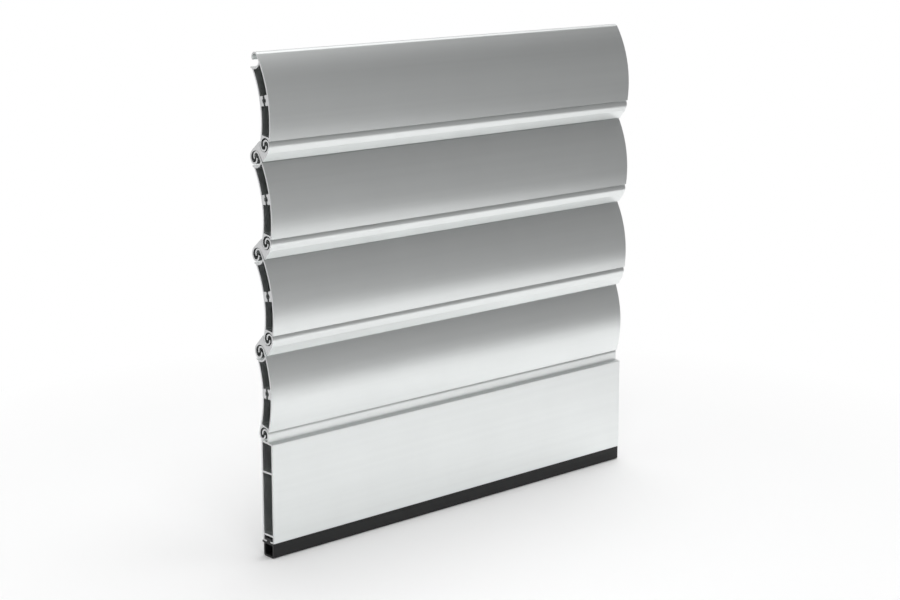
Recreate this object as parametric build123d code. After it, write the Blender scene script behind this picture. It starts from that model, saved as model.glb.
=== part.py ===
from build123d import *
from math import acos, asin, cos, degrees, radians, sin, sqrt, tan
import os

# Sample length of an articulated roller shutter curtain in extruded aluminium: four curved
# double-wall slats, three short links that let each slat fold behind the one above, a flat
# bottom bar and its rubber seal. All profiles run the whole width and are open at both ends.
#
# Every profile is drawn as seen from the left end: the first coordinate runs forwards, out of
# the building, and the second runs up. Angles are in degrees, from forwards and turning up.
# The origin is the hinge axis of the top slat's upper hook, halfway along the curtain.

curtain_width = 403.0
slat_count = 4

# Slat: two walls that follow one arc, which passes through both hinge axes
slat_chord = 67.6
slat_arc_radius = 87.0
slat_depth = 11.8
slat_wall = 1.4
slat_lean = 10.7

# Slat's lower end: a roof web over the hinge, and a lip where the front wall stops
roof_wall = 1.1
lip_angle = 18.0

# Slat's upper end: the recess behind the neck, which the link's lower barrel turns in
recess_clearance = 0.5
recess_wall = 1.4
recess_rear_angle = -124.0

# Screw port halfway down the slat, which takes the end cap's screw
port_bore = 4.6
port_slot = 2.4
port_wall = 1.7

# Hooks: a ring wall about the hinge axis, then a curl that turns inwards to a round tip.
# Each hook turns in a round hollow of the piece that it hangs on or carries.
curl_shift_share = 0.365
hollow_shift_share = 0.5
running_clearance = 0.16
slat_lower_root = 207.0
upper_curl_sweep = 176.5
lower_curl_sweep = 147.0

# How far each hinge turns from the closed curtain, down the chain
link_travel = (-5.0, 40.0)
slat_travel = (-60.0, 3.0)
bar_travel = (-30.0, 25.0)

# Link: a stiff bar between the two hinge axes, with a hook at each end
link_setback = 12.55
link_drop = 10.7
link_root = 15.0
link_barrel_radius = 6.7
link_barrel_wall = 1.6
link_barrel_root = 218.0
link_lip_angle = 163.0
link_lip_radius = 0.6
link_lip_clearance = 0.4
link_belly_angle = -67.0
link_belly_radius = 1.5
hood_reach = 7.5
hood_tip_radius = 0.7
neck_clearance = 0.3

# The last link hangs a little straighter than the others, and so does the last slat
last_link_turn = 5.9
last_slat_lean = 2.5

# Bottom bar: a flat box with a middle web and a slot for the seal. Its hook stands over it.
bar_depth = 14.4
bar_rear_offset = 3.4
bar_wall = 1.5
bar_height = 85.5
bar_shoulder_drop = 4.5
bar_shoulder_slope = 10.0
bar_roof_wall = 1.1
bar_edge_radius = 0.6
bar_root = 15.0
middle_web_drop = 30.7
slot_web_wall = 1.4
slot_height = 4.0
slot_lip_wall = 1.3
slot_gap = 5.0
slot_rearward_shift = 0.35

# Rubber seal: a T head in the bar's slot, a stem, and a hollow tube that meets the sill
seal_clearance = 0.1
seal_head_width = 9.0
seal_head_height = 2.0
seal_stem_width = 3.6
seal_tube_inset = 0.6
seal_tube_height = 12.4
seal_wall = 1.7
seal_edge_radius = 2.2
seal_hollow_radius = 1.0
seal_fin_reach = 1.9
seal_fin_height = 1.4

# Derived radii, angles and hinge axes
ring_radius = (slat_depth - slat_wall) / 2
ring_inner = ring_radius - slat_wall / 2
ring_outer = ring_radius + slat_wall / 2
barrel_radius = link_barrel_radius - link_barrel_wall / 2
barrel_inner = link_barrel_radius - link_barrel_wall
recess_middle = link_barrel_radius + recess_clearance + recess_wall / 2
slat_end_angle = degrees(asin(slat_chord / 2 / slat_arc_radius))
slat_centre = (-sqrt(slat_arc_radius**2 - (slat_chord / 2) ** 2), -slat_chord / 2)
upper_pivot = (0, 0)
slat_lower_pivot = (0, -slat_chord)
link_lower_pivot = (-link_setback, -link_drop)
cut_reach = 3 * slat_depth


def at(centre, radius, angle):
    """Point at a distance and an angle from a centre."""
    return (centre[0] + radius * cos(radians(angle)), centre[1] + radius * sin(radians(angle)))


def disc(centre, radius):
    return Pos(*centre) * Circle(radius)


def rectangle(left, right, bottom, top):
    return Pos((left + right) / 2, (bottom + top) / 2) * Rectangle(right - left, top - bottom)


def band(centre, middle_radius, wall, start, end):
    """Wall of even thickness that follows an arc from one angle to another."""
    outer = CenterArc(centre, middle_radius + wall / 2, start, end - start)
    inner = CenterArc(centre, middle_radius - wall / 2, start, end - start)
    return make_face([outer, Line(outer @ 1, inner @ 1), inner, Line(inner @ 0, outer @ 0)])


def wedge(centre, reach, start, end):
    """Slice of a disc, for cutting away one side of a hinge."""
    rim = CenterArc(centre, reach, start, end - start)
    return make_face([rim, Line(rim @ 1, centre), Line(centre, rim @ 0)])


def curl(pivot, radius, wall, root, sweep):
    """Hook that leaves the ring about the pivot at the root angle and turns inwards."""
    shift = curl_shift_share * radius
    centre = at(pivot, shift, root)
    tip = at(centre, radius - shift, root + sweep)
    return band(centre, radius - shift, wall, root, root + sweep) + disc(tip, wall / 2)


def hollow_size(travel):
    """Shift and radius of the hollow that clears a slat's or link's hook over its travel."""
    hook_shift = curl_shift_share * ring_radius
    shift = hollow_shift_share * hook_shift
    half_travel = radians((travel[1] - travel[0]) / 2)
    reach = sqrt(hook_shift**2 + shift**2 - 2 * hook_shift * shift * cos(half_travel))
    return shift, ring_outer - hook_shift + reach + running_clearance


def hollow(pivot, travel, root):
    """Round hollow about a hinge for a hook whose root turns about a middle angle."""
    shift, radius = hollow_size(travel)
    return disc(at(pivot, shift, root), radius)


def middle(travel):
    return (travel[0] + travel[1]) / 2


def arc_meeting(middle_radius, pivot_distance):
    """Angle at the upper hinge, off the slat's radius, where a circle meets a slat wall."""
    cosine = middle_radius**2 - slat_arc_radius**2 - pivot_distance**2
    return degrees(acos(cosine / (2 * slat_arc_radius * pivot_distance)))


def slat_section():
    """Slat with its upper hinge axis at the origin and its chord upright."""
    hook_root = link_root + middle(link_travel) - slat_lean
    hollow_shift, hollow_radius = hollow_size(link_travel)
    upwards = 90 - slat_end_angle
    roof_rise = hollow_shift * cos(radians(upwards - hook_root)) + hollow_radius + roof_wall
    roof_angle = degrees(roof_rise / slat_arc_radius) - slat_end_angle
    front_radius = slat_arc_radius + ring_radius
    rear_radius = slat_arc_radius - ring_radius
    rear_drop = sqrt(recess_middle**2 - ring_radius**2)
    rear_end = slat_end_angle - degrees(rear_drop / slat_arc_radius)
    front_wall = band(slat_centre, front_radius, slat_wall, roof_angle, slat_end_angle)
    rear_wall = band(slat_centre, rear_radius, slat_wall, -slat_end_angle, rear_end)

    roof = band(slat_centre, slat_arc_radius, slat_depth, -slat_end_angle, roof_angle)
    roof -= hollow(slat_lower_pivot, link_travel, hook_root)
    roof -= disc(slat_lower_pivot, ring_inner)
    roof -= wedge(slat_lower_pivot, cut_reach, lip_angle - 180, lip_angle)

    lower_hook = band(slat_lower_pivot, ring_radius, slat_wall, 180 - slat_end_angle,
                      slat_lower_root)
    lower_hook += curl(slat_lower_pivot, ring_radius, slat_wall, slat_lower_root,
                       lower_curl_sweep)
    upper_hook = curl(upper_pivot, ring_radius, slat_wall, slat_end_angle, upper_curl_sweep)

    recess_front = slat_end_angle - arc_meeting(front_radius, recess_middle)
    recess = band(upper_pivot, recess_middle, recess_wall, recess_rear_angle, recess_front)
    recess += disc(at(upper_pivot, recess_middle, recess_rear_angle), recess_wall / 2)

    port_half_angle = degrees((port_bore / 2 + port_wall) / slat_arc_radius)
    port = band(slat_centre, slat_arc_radius, slat_depth - slat_wall, -port_half_angle,
                port_half_angle)
    port -= disc(at(slat_centre, slat_arc_radius, 0), port_bore / 2)
    port -= band(slat_centre, slat_arc_radius, port_slot, -2 * port_half_angle,
                 2 * port_half_angle)
    return front_wall + rear_wall + roof + lower_hook + upper_hook + recess + port


def link_section():
    """Link as it lies in the closed curtain, with its upper hinge axis at the origin."""
    lip_middle = ring_outer + link_lip_clearance + link_lip_radius
    lip = disc(at(upper_pivot, lip_middle, link_lip_angle), link_lip_radius)
    lip_half_angle = degrees(asin(link_lip_radius / lip_middle))
    neck_angle = slat_end_angle + slat_lean + slat_travel[1]
    neck_front = ring_outer + neck_clearance
    hood_middle = at(link_lower_pivot, neck_front + hood_tip_radius, neck_angle)
    hood_tip = disc(at(hood_middle, hood_reach, neck_angle - 90), hood_tip_radius)
    belly = disc(at(upper_pivot, ring_outer, link_belly_angle), link_belly_radius)
    barrels = disc(upper_pivot, ring_outer) + disc(link_lower_pivot, link_barrel_radius)
    core = make_hull((barrels + lip + belly + hood_tip).edges())

    slat_root = slat_lower_root + slat_lean - middle(link_travel)
    seat_shift, seat_radius = hollow_size(link_travel)
    core -= wedge(upper_pivot, cut_reach, link_root, link_lip_angle - lip_half_angle)
    core -= wedge(upper_pivot, seat_shift + seat_radius, link_root, slat_root)
    core -= disc(upper_pivot, ring_inner)
    core -= hollow(upper_pivot, link_travel, slat_root)
    neck_root = slat_end_angle + slat_lean + middle(slat_travel)
    core -= disc(link_lower_pivot, barrel_inner)
    core -= hollow(link_lower_pivot, slat_travel, neck_root)
    neck_slot = rectangle(-cut_reach, neck_front, -cut_reach, 0)
    core -= Pos(*link_lower_pivot) * Rot(0, 0, neck_angle) * neck_slot

    ring = band(upper_pivot, ring_radius, slat_wall, 0, link_root)
    upper_hook = ring + curl(upper_pivot, ring_radius, slat_wall, link_root, upper_curl_sweep)
    barrel = band(link_lower_pivot, barrel_radius, link_barrel_wall, 180, link_barrel_root)
    lower_hook = barrel + curl(link_lower_pivot, barrel_radius, link_barrel_wall,
                               link_barrel_root, lower_curl_sweep)
    return core + upper_hook + lower_hook


def shoulder_height(forward):
    """Height of the bottom bar's sloping shoulder."""
    fall = (forward + bar_rear_offset) * tan(radians(bar_shoulder_slope))
    return -bar_shoulder_drop - fall


def bar_section():
    """Bottom bar with its hinge axis at the origin."""
    rear = -bar_rear_offset
    front = rear + bar_depth
    bottom = -bar_shoulder_drop - bar_height
    outline = Polyline((rear, bottom), (front, bottom), (front, shoulder_height(front)),
                       (rear, shoulder_height(rear)), close=True)
    body = make_face(outline)
    body = fillet(body.vertices().sort_by(Axis.X)[-2:], bar_edge_radius)
    slat_root = slat_lower_root + last_slat_lean - middle(bar_travel)
    body -= hollow(upper_pivot, bar_travel, slat_root)

    web_top = -middle_web_drop
    slot_top = bottom + slot_lip_wall + slot_height
    inner_rear = rear + bar_wall
    inner_front = front - bar_wall
    seat_shift, seat_radius = hollow_size(bar_travel)
    seat_bottom = seat_shift * sin(radians(slat_root)) - seat_radius
    roof_rear = (inner_rear, seat_bottom - bar_roof_wall)
    roof_front = (inner_front, shoulder_height(inner_front) - bar_roof_wall)
    body -= make_face(Polyline((inner_rear, web_top), (inner_front, web_top), roof_front,
                               roof_rear, close=True))
    body -= rectangle(inner_rear, inner_front, slot_top + slot_web_wall, web_top - bar_wall)
    body -= rectangle(inner_rear, inner_front, bottom + slot_lip_wall, slot_top)
    gap_middle = (rear + front) / 2 - slot_rearward_shift
    body -= rectangle(gap_middle - slot_gap / 2, gap_middle + slot_gap / 2, bottom - cut_reach,
                      slot_top)

    neck = rectangle(ring_inner, ring_outer, shoulder_height(ring_outer), 0)
    ring = band(upper_pivot, ring_radius, slat_wall, 0, bar_root)
    return body + neck + ring + curl(upper_pivot, ring_radius, slat_wall, bar_root,
                                     upper_curl_sweep)


def seal_section():
    """Rubber seal, drawn about the bottom bar's hinge axis like the bar that holds it."""
    rear = -bar_rear_offset
    front = rear + bar_depth
    lip_bottom = -bar_shoulder_drop - bar_height
    head_bottom = lip_bottom + slot_lip_wall
    head_top = head_bottom + seal_head_height
    stem_middle = (rear + front) / 2 - slot_rearward_shift
    tube_top = lip_bottom - seal_clearance
    tube_bottom = tube_top - seal_tube_height
    tube_rear = rear + seal_tube_inset
    tube_front = front - seal_tube_inset
    tube = rectangle(tube_rear, tube_front, tube_bottom, tube_top)
    tube = fillet(tube.vertices().sort_by(Axis.Y)[:2], seal_edge_radius)
    fin = rectangle(tube_rear - seal_fin_reach, tube_rear, tube_top - seal_fin_height, tube_top)
    inside = rectangle(tube_rear + seal_wall, tube_front - seal_wall, tube_bottom + seal_wall,
                       tube_top - seal_wall)
    inside = fillet(inside.vertices(), seal_hollow_radius)
    stem = rectangle(stem_middle - seal_stem_width / 2, stem_middle + seal_stem_width / 2,
                     tube_top, head_top)
    head = rectangle(stem_middle - seal_head_width / 2, stem_middle + seal_head_width / 2,
                     head_bottom, head_top)
    return tube + fin + stem + head - inside


def next_pivot(pivot, section_vector, turn):
    """Next hinge axis down the chain, along a section's own vector turned by an angle."""
    step = Vector(*section_vector).rotate(Axis.Z, turn)
    return (pivot[0] + step.X, pivot[1] + step.Y)


def placed(section, pivot, turn):
    return Pos(*pivot) * Rot(0, 0, turn) * section


def curtain_sections():
    """Every piece's name and its profile in place, from the top slat down to the seal."""
    sections = {}
    slat = slat_section()
    link = link_section()
    pivot = upper_pivot
    for number in range(1, slat_count + 1):
        last = number == slat_count
        lean = last_slat_lean if last else slat_lean
        sections[f"slat_{number}"] = placed(slat, pivot, lean)
        pivot = next_pivot(pivot, slat_lower_pivot, lean)
        print(f"hinge under slat_{number}: forward {pivot[0]:.3f}, up {pivot[1]:.3f}")
        if not last:
            turn = last_link_turn if number == slat_count - 1 else 0
            sections[f"link_{number}"] = placed(link, pivot, turn)
            pivot = next_pivot(pivot, link_lower_pivot, turn)
            print(f"hinge under link_{number}: forward {pivot[0]:.3f}, up {pivot[1]:.3f}")
    sections["bottom_bar"] = placed(bar_section(), pivot, 0)
    sections["rubber_seal"] = placed(seal_section(), pivot, 0)
    return sections


end_plane = Plane(origin=(curtain_width / 2, 0, 0), x_dir=(0, -1, 0), z_dir=(-1, 0, 0))
os.makedirs("parts", exist_ok=True)
for name, section in curtain_sections().items():
    profile = extrude(end_plane * section, amount=curtain_width)
    export_step(profile, f"parts/{name}.step")
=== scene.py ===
from math import radians

import bpy
from mathutils import Euler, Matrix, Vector


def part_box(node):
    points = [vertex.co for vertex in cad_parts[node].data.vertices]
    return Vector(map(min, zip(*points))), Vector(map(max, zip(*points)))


# Colours are linear. Lengths are in metres, angles in degrees, powers in watts.
metal_colour = (0.897, 0.92, 0.915)
cut_colour = (0.66, 0.665, 0.67)
rubber_colour = (0.006, 0.0063, 0.0067, 1.0)
bloom_colour = (0.012, 0.0125, 0.0135, 1.0)
floor_colour = (0.93, 0.93, 0.93, 1.0)
fibre_colour = (0.9, 0.9, 0.9, 1.0)
white_colour = (1.0, 1.0, 1.0, 1.0)

# Size of the surface marks, as repeats per metre. Three numbers run along, across and up.
die_line_scale = (6.0, 2600.0, 2600.0)
broad_line_scale = (2.0, 260.0, 260.0)
saw_mark_scale = (1.0, 3200.0, 900.0)
rubber_line_scale = (8.0, 1500.0, 1500.0)
cloud_scale = 24.0
bloom_scale = 60.0
grain_scale = 2400.0
fibre_scale = 3.0

# Strength of the surface marks. Noise lies mostly within noise_range.
noise_range = (0.3, 0.7)
saw_mark_range = (0.25, 0.75)
bloom_range = (0.35, 0.75)
tint = (0.99, 1.01)
saw_tint = (0.88, 1.08)
bloom_share = (0.0, 0.6)
fibre_share = (0.0, 0.02)
grain_share = 0.5
metal_roughness = (0.33, 0.38)
cut_roughness = (0.42, 0.58)
rubber_roughness = (0.52, 0.66)
metal_bump = 0.05
rubber_bump = 0.25
bump_depth = 0.0001
cut_facing = 0.7

floor_radius = 0.74
floor_sides = 96
floor_fade = (0.25, 0.6, 0.0, 1.0)

# Light from around. Each row runs from one level to another of a direction's height, of its
# part to the right or away from the camera's side, or of its nearness to the ceiling's
# middle, and then from one brightness or share to another.
room_by_height = (0.1, 0.5, 0.325, 0.21)
room_by_side = (0.35, 0.95, 1.6, 0.4)
backdrop_by_depth = (0.0, 0.4, 0.0, 1.0)
backdrop_by_height = (0.05, 0.45, 1.0, 0.25)
ceiling_by_nearness = (0.84, 0.95, 0.0, 1.0)
ceiling_middle = (0.3, 0.05, 0.953)
ceiling_strength = 3.15

lamp_place = (-0.45, -0.7, 1.3)
lamp_target = (-0.2, -0.35, -0.4)
lamp_side = 0.5
lamp_power = 5.0

camera_place = (-1.082, -1.206, 0.144)
camera_down = 11.37
camera_turn = -41.96
camera_lens = 77.1
camera_sensor = 36.0
camera_shift = -0.05
camera_reach = 50.0

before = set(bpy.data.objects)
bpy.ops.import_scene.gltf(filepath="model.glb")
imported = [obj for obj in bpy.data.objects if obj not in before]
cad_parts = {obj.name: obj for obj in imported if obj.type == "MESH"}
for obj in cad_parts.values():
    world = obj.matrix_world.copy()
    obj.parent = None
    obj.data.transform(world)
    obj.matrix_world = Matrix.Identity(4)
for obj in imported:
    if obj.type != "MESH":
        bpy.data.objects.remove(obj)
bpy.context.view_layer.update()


class Nodes:
    """Short hand for building the node tree of a material or the world."""

    def __init__(self, owner, output="ShaderNodeOutputMaterial"):
        owner.use_nodes = True
        self.owner = owner
        self.tree = owner.node_tree
        self.tree.nodes.clear()
        self.output = self.add(output)

    def add(self, kind, **settings):
        node = self.tree.nodes.new(kind)
        for key, value in settings.items():
            setattr(node, key, value)
        return node

    def put(self, node, socket, value):
        """Sets an input, from another node's output or as a value."""
        if isinstance(value, bpy.types.NodeSocket):
            self.tree.links.new(value, node.inputs[socket])
        else:
            node.inputs[socket].default_value = value

    def fill(self, node, *values):
        """Sets the first inputs in their order."""
        for socket, value in enumerate(values):
            self.put(node, socket, value)
        return node

    def maths(self, operation, *values):
        return self.fill(self.add("ShaderNodeMath", operation=operation), *values).outputs[0]

    def span(self, value, low, high, new_low, new_high):
        node = self.add("ShaderNodeMapRange")
        return self.fill(node, value, low, high, new_low, new_high).outputs[0]

    def place(self):
        return self.add("ShaderNodeTexCoord").outputs["Object"]

    def noise(self, vector, scale, detail=2.0, roughness=0.5):
        node = self.add("ShaderNodeTexNoise")
        self.put(node, "Vector", vector)
        self.put(node, "Scale", scale)
        self.put(node, "Detail", detail)
        self.put(node, "Roughness", roughness)
        return node.outputs["Fac"]

    def lines(self, vector, scale, detail=2.0, roughness=0.5):
        """Noise stretched by its own scale along each direction."""
        node = self.add("ShaderNodeMapping")
        self.put(node, "Vector", vector)
        self.put(node, "Scale", scale)
        return self.noise(node.outputs[0], 1.0, detail, roughness)

    def parts(self, vector):
        return self.fill(self.add("ShaderNodeSeparateXYZ"), vector).outputs

    def scaled(self, colour, share):
        node = self.add("ShaderNodeVectorMath", operation="SCALE")
        self.put(node, 0, colour)
        self.put(node, "Scale", share)
        return node.outputs[0]

    def mix(self, share, first, second):
        node = self.add("ShaderNodeMix", data_type="RGBA")
        self.put(node, "Factor", share)
        self.put(node, 6, first)
        self.put(node, 7, second)
        return node.outputs[2]

    def mix_values(self, share, first, second):
        node = self.add("ShaderNodeMix", data_type="FLOAT")
        self.put(node, 0, share)
        self.put(node, 2, first)
        self.put(node, 3, second)
        return node.outputs[0]

    def rays(self):
        """Shares of rays straight from the camera, and of rays by way of metal or glass."""
        path = self.add("ShaderNodeLightPath").outputs
        return path["Is Camera Ray"], self.maths("MAXIMUM", path["Is Glossy Ray"],
                                                 path["Is Transmission Ray"])

    def glow(self, kind, strength):
        """White light from a surface or from around."""
        node = self.add(kind)
        node.inputs["Color"].default_value = white_colour
        self.put(node, "Strength", strength)
        return node

    def blend(self, share, first, second):
        """Goes from one shader to another."""
        node = self.add("ShaderNodeMixShader")
        return self.fill(node, share, first.outputs[0], second.outputs[0]).outputs[0]

    def finish(self, metallic, colour, roughness, height, bump_strength):
        """Ends a material with its surface shader and a fine bump."""
        bump = self.add("ShaderNodeBump")
        self.put(bump, "Strength", bump_strength)
        self.put(bump, "Distance", bump_depth)
        self.put(bump, "Height", height)
        shader = self.add("ShaderNodeBsdfPrincipled")
        shader.inputs["Metallic"].default_value = metallic
        self.put(shader, "Base Color", colour)
        self.put(shader, "Roughness", roughness)
        self.put(shader, "Normal", bump.outputs[0])
        self.put(self.output, "Surface", shader.outputs[0])
        return self.owner


def aluminium(name):
    """Satin extruded aluminium: die lines along the profile, and sawn ends across it."""
    n = Nodes(bpy.data.materials.new(name))
    place = n.place()
    normal = n.parts(n.add("ShaderNodeNewGeometry").outputs["True Normal"])
    sawn = n.maths("GREATER_THAN", n.maths("ABSOLUTE", normal["X"]), cut_facing)

    die_lines = n.lines(place, die_line_scale, 3.0, 0.6)
    broad_lines = n.lines(place, broad_line_scale)
    cloud = n.noise(place, cloud_scale, 4.0)
    saw_marks = n.lines(place, saw_mark_scale, 3.0, 0.7)

    side_tint = n.maths("MULTIPLY", n.span(broad_lines, *noise_range, *tint),
                        n.span(cloud, *noise_range, *tint))
    side = n.scaled(metal_colour, side_tint)
    end = n.scaled(cut_colour, n.span(saw_marks, *saw_mark_range, *saw_tint))
    roughness = n.mix_values(sawn, n.span(die_lines, *noise_range, *metal_roughness),
                             n.span(saw_marks, *noise_range, *cut_roughness))
    height = n.maths("ADD", n.maths("MULTIPLY", die_lines, n.maths("SUBTRACT", 1.0, sawn)),
                     n.maths("MULTIPLY", saw_marks, sawn))
    return n.finish(1.0, n.mix(sawn, side, end), roughness, height, metal_bump)


def rubber(name):
    """Matt black extruded rubber with a slight bloom."""
    n = Nodes(bpy.data.materials.new(name))
    place = n.place()
    lines = n.lines(place, rubber_line_scale, 3.0)
    bloom = n.noise(place, bloom_scale, 5.0, 0.6)
    grain = n.noise(place, grain_scale)
    colour = n.mix(n.span(bloom, *bloom_range, *bloom_share), rubber_colour, bloom_colour)
    height = n.maths("ADD", lines, n.maths("MULTIPLY", grain, grain_share))
    return n.finish(0.0, colour, n.span(lines, *noise_range, *rubber_roughness), height,
                    rubber_bump)


metal = aluminium("satin_aluminium")
black = rubber("black_rubber")
for name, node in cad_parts.items():
    node.data.materials.clear()
    node.data.materials.append(black if name == "rubber_seal" else metal)

# Floor: a plain pale round sheet under the seal, which turns white away from the object
floor_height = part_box("rubber_seal")[0][2]
bpy.ops.mesh.primitive_circle_add(vertices=floor_sides, radius=floor_radius,
                                  fill_type="NGON", location=(0.0, 0.0, floor_height))
floor = bpy.context.object
floor.name = "floor"
paper = Nodes(bpy.data.materials.new("floor_paper"))
place = paper.place()
fibre = paper.noise(place, fibre_scale, 3.0)
matt = paper.add("ShaderNodeBsdfDiffuse")
paper.put(matt, "Color", paper.mix(paper.span(fibre, *noise_range, *fibre_share),
                                   floor_colour, fibre_colour))
far = paper.fill(paper.add("ShaderNodeVectorMath", operation="LENGTH"), place)
white = paper.maths("MULTIPLY", paper.maths("MAXIMUM", *paper.rays()),
                    paper.span(far.outputs["Value"], *floor_fade))
paper.put(paper.output, "Surface",
          paper.blend(white, matt, paper.glow("ShaderNodeEmission", 1.0)))
floor.data.materials.append(paper.owner)

# World: plain white seen directly. Metal mirrors the same white in the ceiling and behind
# the object, and on the camera's side a grey room that is darker to the right.
world = Nodes(bpy.data.worlds.new("studio"), "ShaderNodeOutputWorld")
bpy.context.scene.world = world.owner
around = world.add("ShaderNodeTexCoord").outputs["Generated"]
across, depth, height = world.parts(around)
nearness = world.fill(world.add("ShaderNodeVectorMath", operation="DOT_PRODUCT"),
                      around, ceiling_middle)
ceiling = world.span(nearness.outputs["Value"], *ceiling_by_nearness)
backdrop = world.maths("MULTIPLY", world.span(depth, *backdrop_by_depth),
                       world.span(height, *backdrop_by_height))
room = world.maths("MULTIPLY", world.span(height, *room_by_height),
                   world.span(across, *room_by_side))
strength = world.maths("MULTIPLY_ADD", ceiling, ceiling_strength, room)
direct, mirrored = world.rays()
mirrored = world.maths("MULTIPLY", mirrored, world.maths("MAXIMUM", backdrop, ceiling))
world.put(world.output, "Surface",
          world.blend(world.maths("MAXIMUM", direct, mirrored),
                      world.glow("ShaderNodeBackground", strength),
                      world.glow("ShaderNodeBackground", 1.0)))

# Lamp: a soft square light on the floor in front
lamp_data = bpy.data.lights.new("floor", "AREA")
lamp_data.shape = "RECTANGLE"
lamp_data.size = lamp_data.size_y = lamp_side
lamp_data.energy = lamp_power
lamp = bpy.data.objects.new("floor_lamp", lamp_data)
lamp.location = lamp_place
aim = Vector(lamp_target) - Vector(lamp_place)
lamp.rotation_euler = aim.to_track_quat("-Z", "Y").to_euler()
bpy.context.collection.objects.link(lamp)

# Camera: from the left and a little above, looking down
camera_data = bpy.data.cameras.new("camera")
camera_data.sensor_width = camera_sensor
camera_data.lens = camera_lens
camera_data.shift_y = camera_shift
camera_data.clip_end = camera_reach
camera = bpy.data.objects.new("camera", camera_data)
camera.location = camera_place
camera.rotation_euler = Euler((radians(90.0 - camera_down), 0.0, radians(camera_turn)))
bpy.context.collection.objects.link(camera)

scene = bpy.context.scene
scene.camera = camera
scene.view_settings.view_transform = "Standard"
